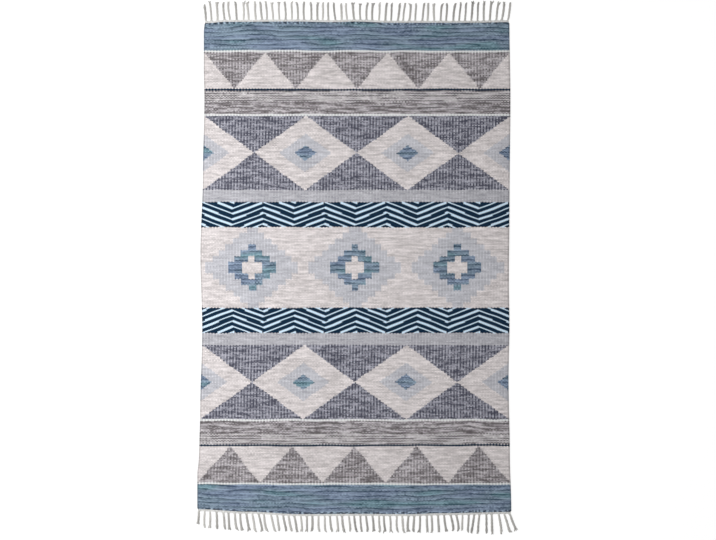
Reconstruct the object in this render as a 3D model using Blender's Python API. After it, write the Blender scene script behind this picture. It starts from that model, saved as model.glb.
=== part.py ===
"""A flat-woven kilim: one weft-faced cloth, and at each end a narrow web with a knotted warp fringe.

The rug lies on the floor with its underside at z = 0. X runs across it, Y runs along the warps, and the
origin is the middle of the woven rectangle. All sizes are in metres.
"""
import math
import random
from collections import namedtuple

import bmesh
import bpy
from mathutils import Vector

# The woven cloth
WOVEN_WIDTH = 1.000
WOVEN_LENGTH = 1.600
CLOTH_THICKNESS = 0.005
EDGE_ROUND = 0.0014
CORNER_RADIUS = 0.007
CORNER_STEPS = 4
SIDE_STEP = 0.040

# The web of bare cotton between the cloth and the tassels
WEB_WIDTH = 0.0062
WEB_HEIGHT = 0.0040
WEB_GAP = 0.0004
WEB_END_SPARE = 0.0015

# The tassels, four warps each, and how much they vary
FRINGE_REACH = 0.057
ROOT_HALF_WIDTH = 0.0030
ROOT_INSET = 0.0045
TIP_SPACING = 0.0095
PITCH_SCATTER = 0.12
REACH_SCATTER = 0.0015
LEAN_SCATTER = 0.0030
BEND_SCATTER = 0.0018
FULLNESS_SCATTER = 0.10
TAIL_SCATTER = 0.20

# What changes along an edge is given at a few stations: the place along the edge, and the value there
Station = namedtuple("Station", "along value")


def table(*rows):
    """A table of stations from rows of two numbers."""
    return [Station(*row) for row in rows]


# How far each edge of the cloth lies outside the plain rectangle
LEFT_EDGE = table(
    (-0.790, 0.012), (-0.672, 0.012), (-0.615, 0.007), (-0.560, 0.005), (-0.480, 0.003),
    (-0.200, -0.004), (0.040, 0.002), (0.300, -0.006), (0.550, -0.011), (0.640, -0.009),
    (0.770, -0.009), (0.790, -0.011),
)
RIGHT_EDGE = table(
    (-0.790, 0.005), (-0.600, 0.000), (-0.360, -0.004), (-0.190, -0.001), (-0.040, -0.003),
    (0.200, -0.001), (0.550, 0.002), (0.790, -0.001),
)
UPPER_EDGE = table(
    (-0.478, -0.008), (-0.420, -0.004), (-0.200, -0.003), (-0.070, -0.005), (-0.005, -0.003),
    (0.120, -0.007), (0.380, -0.007), (0.498, -0.005),
)
LOWER_EDGE = table(
    (-0.510, -0.017), (-0.350, -0.009), (-0.180, -0.001), (0.000, -0.002), (0.170, -0.001),
    (0.280, -0.004), (0.505, -0.008),
)

# How far the tip of a tassel lies to the right of its root
UPPER_LEAN = table(
    (-0.490, -0.006), (-0.300, -0.004), (-0.150, -0.001), (-0.065, -0.005), (0.050, 0.000),
    (0.200, 0.007), (0.250, 0.000), (0.320, 0.007), (0.420, 0.003), (0.495, 0.009),
)
LOWER_LEAN = table(
    (-0.515, -0.008), (-0.490, 0.001), (-0.430, 0.005), (-0.350, 0.011), (-0.230, 0.009),
    (-0.140, -0.001), (-0.090, 0.005), (0.130, 0.004), (0.200, -0.003), (0.300, 0.010),
    (0.380, -0.007), (0.430, 0.000), (0.465, 0.013), (0.505, 0.020),
)

# How far the line that the tips are trimmed to lies beyond the plain reach of the fringe
UPPER_TRIM = table(
    (-0.490, -0.006), (-0.465, 0.005), (-0.200, 0.004), (0.000, 0.000), (0.300, 0.000),
    (0.420, 0.006), (0.500, 0.002),
)
LOWER_TRIM = table(
    (-0.510, -0.025), (-0.495, -0.013), (-0.430, -0.008), (-0.350, -0.002), (0.250, 0.001),
    (0.340, -0.004), (0.390, 0.005), (0.465, 0.007), (0.485, 0.003), (0.503, -0.004),
)

# One fringe at each end: outward is the sign of Y that it points to
Fringe = namedtuple("Fringe", "name outward edge lean trim tassels seed")
UPPER_FRINGE = Fringe("fringe_upper_end", 1, UPPER_EDGE, UPPER_LEAN, UPPER_TRIM, 50, 11)
LOWER_FRINGE = Fringe("fringe_lower_end", -1, LOWER_EDGE, LOWER_LEAN, LOWER_TRIM, 53, 23)

# The shape of a tassel, by the share of its length: a root knot, a shaft, and a thicker tail
Section = namedtuple("Section", "share half_width height")
TASSEL_SECTIONS = [Section(*row) for row in (
    (0.04, 0.0033, 0.0050),
    (0.11, 0.0042, 0.0068),
    (0.18, 0.0034, 0.0052),
    (0.42, 0.0033, 0.0050),
    (0.68, 0.0033, 0.0050),
    (0.87, 0.0035, 0.0052),
    (0.94, 0.0038, 0.0056),
    (1.00, 0.0031, 0.0040),
)]
TAIL_SHARE = 0.90

# The finishes
Finish = namedtuple("Finish", "colour roughness metallic")
WOVEN_WOOL = Finish((0.32, 0.34, 0.39), 0.90, 0.0)
BARE_COTTON = Finish((0.62, 0.60, 0.55), 0.92, 0.0)

# How one tassel lies: the X of its root, how far its tip lies to the right and its middle bows there,
# its length, and how full its shaft and its tail are beside the others
Tassel = namedtuple("Tassel", "root lean bend length fullness tail")


def eased(stations, along):
    """The value of a table at a place along the edge, eased from one station to the next."""
    if along <= stations[0].along:
        return stations[0].value
    for here, there in zip(stations, stations[1:]):
        if along <= there.along:
            share = (along - here.along) / (there.along - here.along)
            ease = share * share * (3.0 - 2.0 * share)
            return here.value + (there.value - here.value) * ease
    return stations[-1].value


def left_edge(y):
    """The X of the cloth's left edge."""
    return -WOVEN_WIDTH / 2 - eased(LEFT_EDGE, y)


def right_edge(y):
    """The X of the cloth's right edge."""
    return WOVEN_WIDTH / 2 + eased(RIGHT_EDGE, y)


def end_edge(fringe, x):
    """The Y of the cloth's edge at the end where a fringe is."""
    return fringe.outward * (WOVEN_LENGTH / 2 + eased(fringe.edge, x))


def lay_tassels(fringe):
    """The tassels of a fringe from left to right, each tip kept clear of the one before it."""
    rng = random.Random(fringe.seed)
    end = fringe.outward * WOVEN_LENGTH / 2
    first = left_edge(end) + ROOT_INSET
    pitch = (right_edge(end) - ROOT_INSET - first) / (fringe.tassels - 1)
    tassels = []
    last_tip = -WOVEN_WIDTH
    for index in range(fringe.tassels):
        at_corner = index in (0, fringe.tassels - 1)
        scatter = rng.uniform(-PITCH_SCATTER, PITCH_SCATTER)
        root = first + pitch * (index if at_corner else index + scatter)
        lean = eased(fringe.lean, root) + rng.uniform(-LEAN_SCATTER, LEAN_SCATTER)
        lean = max(lean, last_tip + TIP_SPACING - root)
        bend = rng.uniform(-BEND_SCATTER, BEND_SCATTER)
        reach = FRINGE_REACH + eased(fringe.trim, root) + rng.uniform(-REACH_SCATTER, REACH_SCATTER)
        length = reach - eased(fringe.edge, root) - WEB_GAP - WEB_WIDTH
        fullness = 1.0 + rng.uniform(-FULLNESS_SCATTER, FULLNESS_SCATTER)
        tail = 1.0 + rng.uniform(-TAIL_SCATTER, TAIL_SCATTER)
        tassels.append(Tassel(root, lean, bend, length, fullness, tail))
        last_tip = root + lean
    return tassels


def root_sides(tassels):
    """The X of each side of each tassel's root, where the web and the cloth's edge may turn."""
    return [tassel.root + side for tassel in tassels for side in (-ROOT_HALF_WIDTH, ROOT_HALF_WIDTH)]


def end_corners(fringe):
    """The left and the right corner of the cloth at the end where a fringe is."""
    end = fringe.outward * WOVEN_LENGTH / 2
    return [Vector((x, end_edge(fringe, x))) for x in (left_edge(end), right_edge(end))]


def corner_arc(corner, inward, first_angle):
    """Points round a corner of the cloth, anticlockwise through a quarter turn."""
    centre = corner + CORNER_RADIUS * Vector(inward)
    angles = [first_angle + math.pi / 2 * step / CORNER_STEPS for step in range(CORNER_STEPS + 1)]
    return [centre + CORNER_RADIUS * Vector((math.cos(angle), math.sin(angle))) for angle in angles]


def end_points(fringe, tassels, start, stop):
    """Points of the cloth's edge along a fringe, between the round corners, from left to right."""
    places = [x for x in root_sides(tassels) if start + CORNER_RADIUS < x < stop - CORNER_RADIUS]
    return [Vector((x, end_edge(fringe, x))) for x in places]


def side_points(edge, low, high):
    """Points of the cloth's left or right edge, between the round corners, from low to high."""
    start = low + CORNER_RADIUS
    length = high - CORNER_RADIUS - start
    count = math.ceil(length / SIDE_STEP)
    places = [start + length * index / count for index in range(1, count)]
    return [Vector((edge(y), y)) for y in places]


def cloth_outline(upper_tassels, lower_tassels):
    """The outline of the cloth from above, anticlockwise from its lower left corner."""
    low_left, low_right = end_corners(LOWER_FRINGE)
    high_left, high_right = end_corners(UPPER_FRINGE)
    outline = corner_arc(low_left, (1, 1), math.pi)
    outline += end_points(LOWER_FRINGE, lower_tassels, low_left.x, low_right.x)
    outline += corner_arc(low_right, (-1, 1), -math.pi / 2)
    outline += side_points(right_edge, low_right.y, high_right.y)
    outline += corner_arc(high_right, (-1, -1), 0.0)
    outline += reversed(end_points(UPPER_FRINGE, upper_tassels, high_left.x, high_right.x))
    outline += corner_arc(high_left, (1, -1), math.pi / 2)
    outline += reversed(side_points(left_edge, low_left.y, high_left.y))
    return outline


def make_material(name, finish):
    """A Principled material in the colour, roughness and metallic value of a finish."""
    material = bpy.data.materials.new(name)
    material.use_nodes = True
    shader = material.node_tree.nodes["Principled BSDF"]
    shader.inputs["Base Color"].default_value = (*finish.colour, 1.0)
    shader.inputs["Roughness"].default_value = finish.roughness
    shader.inputs["Metallic"].default_value = finish.metallic
    return material


def add_object(name, data, finish, parent, location, collection):
    """An object with its own material, placed under the parent."""
    data.materials.append(make_material(name, finish))
    thing = bpy.data.objects.new(name, data)
    thing.location = location
    thing.parent = parent
    collection.objects.link(thing)


def make_cloth(outline, parent, collection):
    """The woven cloth: its outline as a flat curve, with its thickness and a soft edge."""
    curve = bpy.data.curves.new("kilim_cloth", "CURVE")
    curve.dimensions = "2D"
    curve.fill_mode = "BOTH"
    curve.extrude = CLOTH_THICKNESS / 2 - EDGE_ROUND
    curve.bevel_depth = EDGE_ROUND
    curve.bevel_resolution = 0
    curve.offset = -EDGE_ROUND
    spline = curve.splines.new("POLY")
    spline.points.add(len(outline) - 1)
    for spline_point, point in zip(spline.points, outline):
        spline_point.co = (*point, 0.0, 1.0)
    spline.use_cyclic_u = True
    add_object("kilim_cloth", curve, WOVEN_WOOL, parent, (0.0, 0.0, CLOTH_THICKNESS / 2), collection)


def web_point(fringe, x, across, height):
    """A point of the web, from the fringe's origin: across is 0 at the cloth and 1 at the tassels."""
    out = eased(fringe.edge, x) + WEB_GAP + across * WEB_WIDTH
    return Vector((x, fringe.outward * out, height))


def pull_face(bm, face, corners):
    """Extrude one face, and put the corners of the new face at the given points, in its order."""
    pulled = bmesh.ops.extrude_discrete_faces(bm, faces=[face])["faces"][0]
    for vert, corner in zip(pulled.verts, corners):
        vert.co = corner
    return pulled


def pull_web(bm, fringe, tassels):
    """The web: a small rectangle pulled along the cloth's edge, with a stop each side of each root."""
    spare = ROOT_HALF_WIDTH + WEB_END_SPARE
    profile = ((0, 0.0), (1, 0.0), (1, WEB_HEIGHT), (0, WEB_HEIGHT))
    start = tassels[0].root - spare
    first_ring = [bm.verts.new(web_point(fringe, start, *corner)) for corner in profile]
    face = bm.faces.new(first_ring)
    for stop in root_sides(tassels) + [tassels[-1].root + spare]:
        face = pull_face(bm, face, [web_point(fringe, stop, *corner) for corner in profile])
    bm.faces.new(first_ring)


def root_face(bm, fringe, tassel):
    """The face of the web that a tassel grows from."""
    root = web_point(fringe, tassel.root, 1, WEB_HEIGHT / 2)
    return min(bm.faces, key=lambda face: (face.calc_center_median() - root).length)


def pull_tassel(bm, fringe, tassel, face):
    """One tassel, pulled out of its face of the web, its underside level on the floor."""
    root = web_point(fringe, tassel.root, 1, 0.0)
    centre = face.calc_center_median()
    corners = [(math.copysign(1.0, vert.co.x - centre.x), vert.co.z > centre.z) for vert in face.verts]
    for section in TASSEL_SECTIONS:
        turn = math.pi * section.share
        to_right = tassel.lean * section.share + tassel.bend * math.sin(turn)
        middle = root + Vector((to_right, fringe.outward * tassel.length * section.share, 0.0))
        slant = tassel.lean + tassel.bend * math.pi * math.cos(turn)
        across = Vector((tassel.length, -fringe.outward * slant, 0.0)).normalized()
        fullness = tassel.tail if section.share > TAIL_SHARE else tassel.fullness
        half_width = across * section.half_width * fullness
        height = Vector((0.0, 0.0, section.height * fullness))
        face = pull_face(bm, face, [middle + half_width * side + height * top for side, top in corners])


def make_fringe(fringe, tassels, parent, collection):
    """One end finish: the web and its tassels as one solid."""
    bm = bmesh.new()
    pull_web(bm, fringe, tassels)
    roots = [root_face(bm, fringe, tassel) for tassel in tassels]
    for tassel, face in zip(tassels, roots):
        pull_tassel(bm, fringe, tassel, face)
    bmesh.ops.recalc_face_normals(bm, faces=bm.faces)
    mesh = bpy.data.meshes.new(fringe.name)
    bm.to_mesh(mesh)
    bm.free()
    location = (0.0, fringe.outward * WOVEN_LENGTH / 2, 0.0)
    add_object(fringe.name, mesh, BARE_COTTON, parent, location, collection)


def main():
    """Build the rug in a collection of its own, every piece under one empty on the floor."""
    for thing in list(bpy.data.objects):
        bpy.data.objects.remove(thing, do_unlink=True)
    collection = bpy.data.collections.new("kilim")
    bpy.context.scene.collection.children.link(collection)
    rug = bpy.data.objects.new("kilim", None)
    collection.objects.link(rug)
    upper_tassels = lay_tassels(UPPER_FRINGE)
    lower_tassels = lay_tassels(LOWER_FRINGE)
    make_cloth(cloth_outline(upper_tassels, lower_tassels), rug, collection)
    make_fringe(UPPER_FRINGE, upper_tassels, rug, collection)
    make_fringe(LOWER_FRINGE, lower_tassels, rug, collection)


main()
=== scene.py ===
# %% [markdown]
# # A flat-woven kilim with a knotted fringe
#
# A kilim has no pile. Each weft goes over one warp and under the next, and is beaten down until the
# warps don't show, so the picture is made by the coloured wefts alone and both faces look alike. The
# warps come out at both ends, where they are twined together and knotted in fours.
#
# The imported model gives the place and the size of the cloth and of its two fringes. This script keeps
# those places, and makes the woven surface, the turns of the weft at the selvedges, the twined cords at
# the ends and the knotted tassels.

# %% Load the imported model
import math
import random
from collections import namedtuple

import bpy
import numpy as np
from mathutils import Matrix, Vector


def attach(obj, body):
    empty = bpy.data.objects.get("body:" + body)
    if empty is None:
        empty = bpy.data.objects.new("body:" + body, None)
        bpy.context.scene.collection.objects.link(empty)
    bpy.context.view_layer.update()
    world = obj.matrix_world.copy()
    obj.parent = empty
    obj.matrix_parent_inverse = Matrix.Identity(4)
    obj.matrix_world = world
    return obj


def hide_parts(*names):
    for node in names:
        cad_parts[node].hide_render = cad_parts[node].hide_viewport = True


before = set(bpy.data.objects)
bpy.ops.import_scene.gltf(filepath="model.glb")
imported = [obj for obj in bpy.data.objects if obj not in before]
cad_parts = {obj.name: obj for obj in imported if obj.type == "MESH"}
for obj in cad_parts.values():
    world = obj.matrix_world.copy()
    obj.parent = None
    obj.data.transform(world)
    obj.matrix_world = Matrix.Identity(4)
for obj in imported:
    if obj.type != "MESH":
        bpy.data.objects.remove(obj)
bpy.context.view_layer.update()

print("packed nodes:", sorted(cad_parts))

# %% [markdown]
# ## The view
#
# The rug is photographed straight from above, from far away, so its far edges look as large as its near
# ones. A long lens high over the floor gives that view. The picture's scale, in metres to a pixel, comes
# from the rug's own width, and the lens follows from the scale and the height.

# %% Camera
PICTURE_WIDE, PICTURE_HIGH = 716, 540
METRES_TO_A_PIXEL = 0.00324
RUG_CENTRE_PIXEL = (355.4, 267.5)
CAMERA_HEIGHT = 7.0
SENSOR_MM = 36.0


def add_object(name, data):
    """A new object in the scene."""
    thing = bpy.data.objects.new(name, data)
    bpy.context.scene.collection.objects.link(thing)
    return thing


def make_camera():
    """A camera that looks straight down, with the rug where the photograph has it."""
    data = bpy.data.cameras.new("camera")
    data.sensor_width = SENSOR_MM
    data.lens = SENSOR_MM * CAMERA_HEIGHT / (PICTURE_WIDE * METRES_TO_A_PIXEL)
    camera = add_object("camera", data)
    to_right = PICTURE_WIDE / 2 - RUG_CENTRE_PIXEL[0]
    downwards = PICTURE_HIGH / 2 - RUG_CENTRE_PIXEL[1]
    camera.location = (to_right * METRES_TO_A_PIXEL, -downwards * METRES_TO_A_PIXEL, CAMERA_HEIGHT)
    bpy.context.scene.camera = camera
    print(f"lens {data.lens:.1f} mm at {CAMERA_HEIGHT} m")


make_camera()
bpy.context.scene.view_settings.view_transform = "Standard"

# %% [markdown]
# ## Writing nodes as formulas
#
# The weave and the tassels follow rules, and a rule reads best as a formula. The class below wraps one
# socket of a node tree. An operator between two of them, or between one and a number, adds a Math node
# and wraps its result. Since each operator differs from the next in the node's operation alone, one
# function makes them all. Every other node comes from one method, which sets the node's settings first and
# then its sockets. Shader trees and Geometry Nodes trees are both written this way.

# %% Sockets and operators
def find_socket(sockets, key):
    """A socket by its index, name or identifier, among those that the node's settings leave on."""
    if isinstance(key, int):
        return sockets[key]
    return next(socket for socket in sockets if socket.enabled and key in (socket.name, socket.identifier))


def math_function(operation, reflected=False):
    """A function of a field, and of others where it takes more, that adds a Math node."""

    def apply(field, *others):
        values = (*others, field) if reflected else (field, *others)
        return field.tree.math(operation, *values)

    return apply


class Field:
    """A socket that gives a value, on which operators add Math nodes."""

    __add__ = math_function("ADD")
    __radd__ = math_function("ADD", reflected=True)
    __sub__ = math_function("SUBTRACT")
    __rsub__ = math_function("SUBTRACT", reflected=True)
    __mul__ = math_function("MULTIPLY")
    __rmul__ = math_function("MULTIPLY", reflected=True)
    __truediv__ = math_function("DIVIDE")
    __rtruediv__ = math_function("DIVIDE", reflected=True)
    __mod__ = math_function("FLOORED_MODULO")
    __pow__ = math_function("POWER")
    __abs__ = math_function("ABSOLUTE")
    __lt__ = math_function("LESS_THAN")
    __gt__ = math_function("GREATER_THAN")

    def __init__(self, tree, socket):
        self.tree = tree
        self.socket = socket

    def __neg__(self):
        return self * -1.0

    def __getitem__(self, name):
        """Another output of the same node."""
        return Field(self.tree, find_socket(self.socket.node.outputs, name))


sine = math_function("SINE")
cosine = math_function("COSINE")
whole = math_function("FLOOR")
larger = math_function("MAXIMUM")
smaller = math_function("MINIMUM")


def hump(value, middle, half_width):
    """A round hump of height 1 at the middle, and 0 further away than half its width."""
    off = (value - middle) / half_width
    return larger(1.0 - off * off, 0.0)


def held_between(value, low, high):
    """A value that goes no lower and no higher than two numbers."""
    return smaller(larger(value, low), high)


def between(first, second, share):
    """A value that goes from the first to the second as the share goes from 0 to 1."""
    return share * (second - first) + first


# %% Trees
class Tree:
    """A node tree that is being written."""

    def __init__(self, node_tree):
        self.node_tree = node_tree

    def node(self, kind, settings=None, inputs=None):
        """Add a node, with its settings set before its sockets, and give its first output."""
        node = self.node_tree.nodes.new(kind)
        for name, value in (settings or {}).items():
            setattr(node, name, value)
        for key, value in (inputs or {}).items():
            socket = find_socket(node.inputs, key)
            if isinstance(value, Field):
                self.node_tree.links.new(value.socket, socket)
            else:
                socket.default_value = value
        outputs = [socket for socket in node.outputs if socket.enabled]
        return Field(self, outputs[0]) if outputs else None

    def math(self, operation, *values):
        """A Math node of one, two or three values."""
        return self.node("ShaderNodeMath", {"operation": operation}, dict(enumerate(values)))

    def vector(self, x=0.0, y=0.0, z=0.0):
        """A vector from its three numbers."""
        return self.node("ShaderNodeCombineXYZ", None, {"X": x, "Y": y, "Z": z})

    def parts(self, vector):
        """The three numbers of a vector."""
        split = self.node("ShaderNodeSeparateXYZ", None, {"Vector": vector})
        return split["X"], split["Y"], split["Z"]

    def eased(self, value, start, stop, low=0.0, high=1.0):
        """A smooth step from low to high, as the value goes from start to stop."""
        inputs = {"Value": value, "From Min": start, "From Max": stop, "To Min": low, "To Max": high}
        return self.node("ShaderNodeMapRange", {"interpolation_type": "SMOOTHSTEP"}, inputs)

    def colour_mix(self, factor, first, second):
        """A colour between two colours."""
        inputs = {"Factor": factor, "A": first, "B": second}
        return self.node("ShaderNodeMix", {"data_type": "RGBA"}, inputs)

    def noise(self, x, y=0.0, z=0.0, detail=0.0):
        """Smooth noise, from 0 to 1 and mostly near a half, at a place given in waves."""
        inputs = {"Vector": self.vector(x, y, z), "Scale": 1.0, "Detail": detail}
        return self.node("ShaderNodeTexNoise", {"noise_dimensions": "3D"}, inputs)

    def bump(self, height, strength, depth):
        """A normal that shows a height in the shading, so deep in metres where the height is 1."""
        inputs = {"Height": height, "Strength": strength, "Distance": depth}
        return self.node("ShaderNodeBump", None, inputs)

    def read(self, name, kind="FLOAT"):
        """What is kept on the geometry under a name."""
        return self.node("GeometryNodeInputNamedAttribute", {"data_type": kind}, {"Name": name})

    def keep(self, geometry, name, value, kind="FLOAT"):
        """The geometry with a value kept on its points under a name."""
        inputs = {"Geometry": geometry, "Name": name, "Value": value}
        return self.node("GeometryNodeStoreNamedAttribute", {"data_type": kind, "domain": "POINT"}, inputs)

    def join(self, *geometries):
        """Several geometries as one."""
        joined = self.node("GeometryNodeJoinGeometry")
        for geometry in geometries:
            self.node_tree.links.new(geometry.socket, joined.socket.node.inputs[0])
        return joined


# %% A tree with named inputs
def geometry_tree(name, sizes, counts=()):
    """A Geometry Nodes tree with inputs for a geometry, for each named size and count, and for a material."""
    group = bpy.data.node_groups.new(name, "GeometryNodeTree")
    group.is_modifier = True
    sockets = [("Geometry", "INPUT", "Geometry"), ("Geometry", "OUTPUT", "Geometry")]
    sockets += [(size, "INPUT", "Float") for size in sizes]
    sockets += [(count, "INPUT", "Int") for count in counts]
    sockets += [("Material", "INPUT", "Material")]
    for label, way, kind in sockets:
        group.interface.new_socket(label, in_out=way, socket_type="NodeSocket" + kind)
    tree = Tree(group)
    return tree, tree.node("NodeGroupInput")


def close_tree(tree, geometry, material):
    """End a tree in real faces that are shaded smoothly and wear the material."""
    smooth = tree.node("GeometryNodeSetShadeSmooth", None, {"Geometry": geometry})
    real = tree.node("GeometryNodeRealizeInstances", None, {"Geometry": smooth})
    worn = tree.node("GeometryNodeSetMaterial", None, {"Geometry": real, "Material": material})
    tree.node("NodeGroupOutput", None, {"Geometry": worn})
    return tree


def grow(thing, tree, values):
    """Run a tree on an object, with its inputs set by identifier, and keep the result as its mesh."""
    group = tree.node_tree
    modifier = thing.modifiers.new(group.name, "NODES")
    modifier.node_group = group
    for item in group.interface.items_tree:
        if item.in_out == "INPUT" and item.name in values:
            modifier[item.identifier] = values[item.name]
    depsgraph = bpy.context.evaluated_depsgraph_get()
    evaluated = thing.evaluated_get(depsgraph)
    mesh = bpy.data.meshes.new_from_object(evaluated, preserve_all_data_layers=True, depsgraph=depsgraph)
    thing.modifiers.clear()
    thing.data = mesh
    mesh.name = thing.name


def count_triangles(thing):
    """How many triangles a mesh object has."""
    thing.data.calc_loop_triangles()
    return len(thing.data.loop_triangles)


# %% [markdown]
# ## The light and the floor
#
# The rug lies on a white sweep, bright enough that the floor is pure white with hardly a shadow. A soft
# lamp stands to the left of the rug's middle, so the light falls off across the rug: the right side gets
# about three fifths of the left side's light. An even white surround fills the shadows. The floor glows,
# so that it stays white on both sides.

# %% Lamp, surround and floor
LAMP_PLACE = (-1.6, 0.12, 1.75)
LAMP_SIZE = 1.0
LAMP_POWER = 55.0
SURROUND_STRENGTH = 0.435
WHITE = (1.0, 1.0, 1.0, 1.0)
FLOOR_HALF = 30.0
FLOOR_GREY = (0.15, 0.15, 0.15, 1.0)
FLOOR_GLOW = 0.90


def make_lamp():
    """A square soft lamp that is turned to the middle of the rug."""
    data = bpy.data.lights.new("key_lamp", "AREA")
    data.size = LAMP_SIZE
    data.energy = LAMP_POWER
    lamp = add_object("key_lamp", data)
    lamp.location = LAMP_PLACE
    lamp.rotation_euler = Vector(LAMP_PLACE).to_track_quat("Z", "Y").to_euler()


def make_surround():
    """An even white surround."""
    world = bpy.data.worlds.new("surround")
    world.use_nodes = True
    world.node_tree.nodes.clear()
    tree = Tree(world.node_tree)
    background = tree.node("ShaderNodeBackground", None, {"Color": WHITE, "Strength": SURROUND_STRENGTH})
    tree.node("ShaderNodeOutputWorld", None, {"Surface": background})
    bpy.context.scene.world = world


def make_material(name):
    """An empty material and its tree."""
    material = bpy.data.materials.new(name)
    material.use_nodes = True
    material.node_tree.nodes.clear()
    return material, Tree(material.node_tree)


def finish_material(tree, inputs):
    """End a shader tree in a surface with these inputs."""
    shader = tree.node("ShaderNodeBsdfPrincipled", None, inputs)
    tree.node("ShaderNodeOutputMaterial", None, {"Surface": shader})


def make_floor():
    """A white floor, just under the rug."""
    material, tree = make_material("white_sweep")
    finish_material(tree, {
        "Base Color": FLOOR_GREY, "Roughness": 1.0, "Specular IOR Level": 0.0,
        "Emission Color": WHITE, "Emission Strength": FLOOR_GLOW,
    })
    mesh = bpy.data.meshes.new("floor")
    corners = [(x * FLOOR_HALF, y * FLOOR_HALF, 0.0) for x, y in ((-1, -1), (1, -1), (1, 1), (-1, 1))]
    mesh.from_pydata(corners, [], [(0, 1, 2, 3)])
    mesh.materials.append(material)
    floor = add_object("floor", mesh)
    return floor


make_lamp()
make_surround()
floor = make_floor()

# %% [markdown]
# ## The rug's sizes and its uneven edges
#
# A hand-woven rug is never a true rectangle. The weft is pulled in a little more here than there, so each
# edge wanders by a few millimetres. The cloth's outline and the fringes follow the same short tables of
# stations, each a place along an edge and how far the edge lies outside the plain rectangle there. These
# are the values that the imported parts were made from, so what follows lies exactly on them.

# %% Sizes in metres
WOVEN_WIDTH = 1.000
WOVEN_LENGTH = 1.600
CLOTH_THICKNESS = 0.005
CORNER_RADIUS = 0.007
WEB_WIDTH = 0.0062
WEB_GAP = 0.0004
FRINGE_REACH = 0.057
ROOT_INSET = 0.0045
TIP_SPACING = 0.0095
PITCH_SCATTER = 0.12
REACH_SCATTER = 0.0015
LEAN_SCATTER = 0.0030
BEND_SCATTER = 0.0018
FULLNESS_SCATTER = 0.10
TAIL_SCATTER = 0.20
END_FOLLOW = 0.16
MM = 0.001

# %% Edge tables
Station = namedtuple("Station", "along value")


def table(*rows):
    """A table of stations from rows of two numbers."""
    return [Station(*row) for row in rows]


LEFT_EDGE = table(
    (-0.790, 0.012), (-0.672, 0.012), (-0.615, 0.007), (-0.560, 0.005), (-0.480, 0.003),
    (-0.200, -0.004), (0.040, 0.002), (0.300, -0.006), (0.550, -0.011), (0.640, -0.009),
    (0.770, -0.009), (0.790, -0.011),
)
RIGHT_EDGE = table(
    (-0.790, 0.005), (-0.600, 0.000), (-0.360, -0.004), (-0.190, -0.001), (-0.040, -0.003),
    (0.200, -0.001), (0.550, 0.002), (0.790, -0.001),
)
UPPER_EDGE = table(
    (-0.478, -0.008), (-0.420, -0.004), (-0.200, -0.003), (-0.070, -0.005), (-0.005, -0.003),
    (0.120, -0.007), (0.380, -0.007), (0.498, -0.005),
)
LOWER_EDGE = table(
    (-0.510, -0.017), (-0.350, -0.009), (-0.180, -0.001), (0.000, -0.002), (0.170, -0.001),
    (0.280, -0.004), (0.505, -0.008),
)
UPPER_LEAN = table(
    (-0.490, -0.006), (-0.300, -0.004), (-0.150, -0.001), (-0.065, -0.005), (0.050, 0.000),
    (0.200, 0.007), (0.250, 0.000), (0.320, 0.007), (0.420, 0.003), (0.495, 0.009),
)
LOWER_LEAN = table(
    (-0.515, -0.008), (-0.490, 0.001), (-0.430, 0.005), (-0.350, 0.011), (-0.230, 0.009),
    (-0.140, -0.001), (-0.090, 0.005), (0.130, 0.004), (0.200, -0.003), (0.300, 0.010),
    (0.380, -0.007), (0.430, 0.000), (0.465, 0.013), (0.505, 0.020),
)
UPPER_TRIM = table(
    (-0.490, -0.006), (-0.465, 0.005), (-0.200, 0.004), (0.000, 0.000), (0.300, 0.000),
    (0.420, 0.006), (0.500, 0.002),
)
LOWER_TRIM = table(
    (-0.510, -0.025), (-0.495, -0.013), (-0.430, -0.008), (-0.350, -0.002), (0.250, 0.001),
    (0.340, -0.004), (0.390, 0.005), (0.465, 0.007), (0.485, 0.003), (0.503, -0.004),
)

Fringe = namedtuple("Fringe", "name outward edge lean trim tassels seed")
UPPER_FRINGE = Fringe("fringe_upper_end", 1, UPPER_EDGE, UPPER_LEAN, UPPER_TRIM, 50, 11)
LOWER_FRINGE = Fringe("fringe_lower_end", -1, LOWER_EDGE, LOWER_LEAN, LOWER_TRIM, 53, 23)


# %% Reading the tables
def smooth(share):
    """A share from 0 to 1 that sets out and arrives gently."""
    return share * share * (3.0 - 2.0 * share)


def eased(stations, along):
    """The value of a table at a place along the edge, eased from one station to the next."""
    if along <= stations[0].along:
        return stations[0].value
    for here, there in zip(stations, stations[1:]):
        if along <= there.along:
            ease = smooth((along - here.along) / (there.along - here.along))
            return here.value + (there.value - here.value) * ease
    return stations[-1].value


def left_edge(y):
    """The X of the cloth's left edge."""
    return -WOVEN_WIDTH / 2 - eased(LEFT_EDGE, y)


def right_edge(y):
    """The X of the cloth's right edge."""
    return WOVEN_WIDTH / 2 + eased(RIGHT_EDGE, y)


def end_edge(fringe, x):
    """The Y of the cloth's edge at the end where a fringe is."""
    return fringe.outward * (WOVEN_LENGTH / 2 + eased(fringe.edge, x))


def woven_y(x, plain_y):
    """The Y of a pick at an X: near an end the picks follow the edge there, further in they run straight."""
    y = plain_y
    for fringe in (UPPER_FRINGE, LOWER_FRINGE):
        from_end = WOVEN_LENGTH / 2 - fringe.outward * plain_y
        follow = max(1.0 - from_end / END_FOLLOW, 0.0)
        y += fringe.outward * eased(fringe.edge, x) * follow * follow
    return y
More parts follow.
